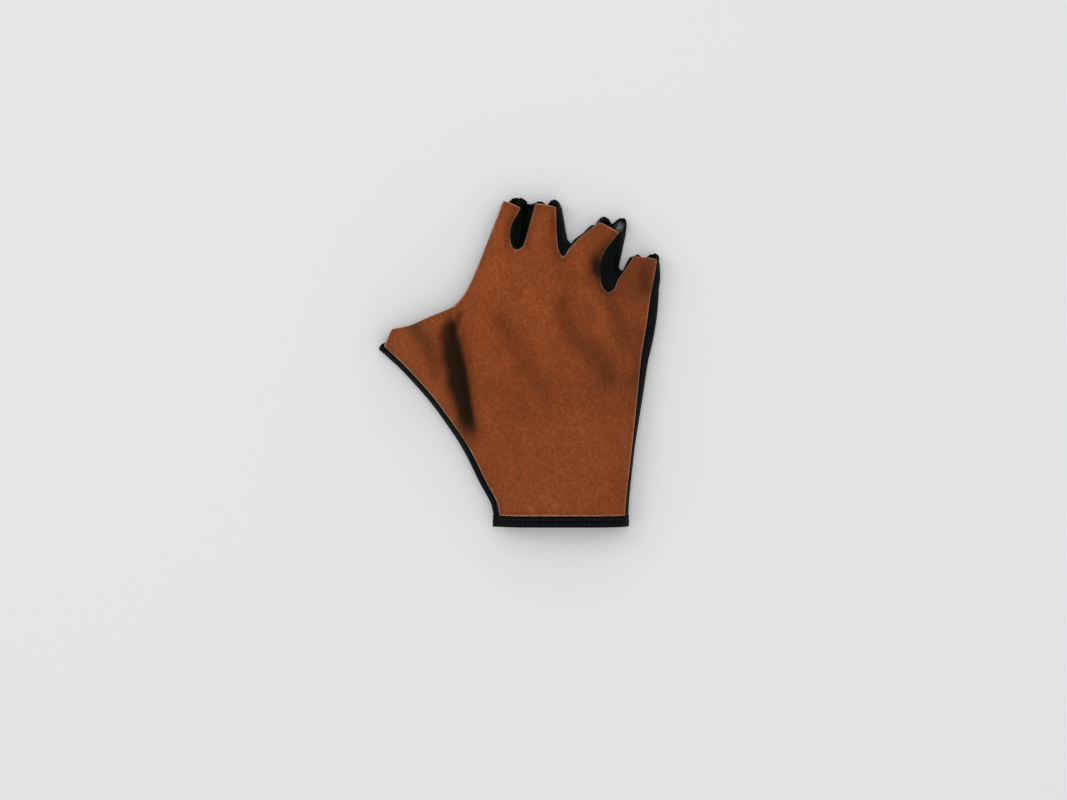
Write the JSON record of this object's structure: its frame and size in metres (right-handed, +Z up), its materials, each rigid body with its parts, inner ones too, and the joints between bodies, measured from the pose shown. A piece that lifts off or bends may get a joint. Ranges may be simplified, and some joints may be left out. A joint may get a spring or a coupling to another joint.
{
  "type": "fingerless sport glove",
  "caption": "Fingerless sport glove for the left hand, lying palm up: tan suede palm, black stretch fabric back, and a wrist strap with a suede tab.",
  "frame": {"origin": "on the surface the glove lies on, under the centre of its bounding box", "axes": "+Y from the cuff towards the fingers, +Z up out of the palm, -X towards the thumb"},
  "size_m": [0.158, 0.1828, 0.0255],
  "materials": {
    "suede": "tan suede with a short nap",
    "stretch_fabric": "black stretch fabric with a dull sheen",
    "binding_tape": "black woven tape",
    "knit": "black brushed knit"
  },
  "bodies": {
    "root": {"palm": "suede", "back": "stretch_fabric", "fourchette_index_middle": "stretch_fabric", "fourchette_middle_ring": "stretch_fabric", "fourchette_ring_little": "stretch_fabric", "index_binding": "binding_tape", "middle_binding": "binding_tape", "ring_binding": "binding_tape", "little_binding": "binding_tape", "thumb_binding": "binding_tape", "cuff": "binding_tape", "wrist_gusset": "knit", "strap": "binding_tape", "strap_tab": "suede", "loop_patch": "knit"}
  },
  "joints": []
}
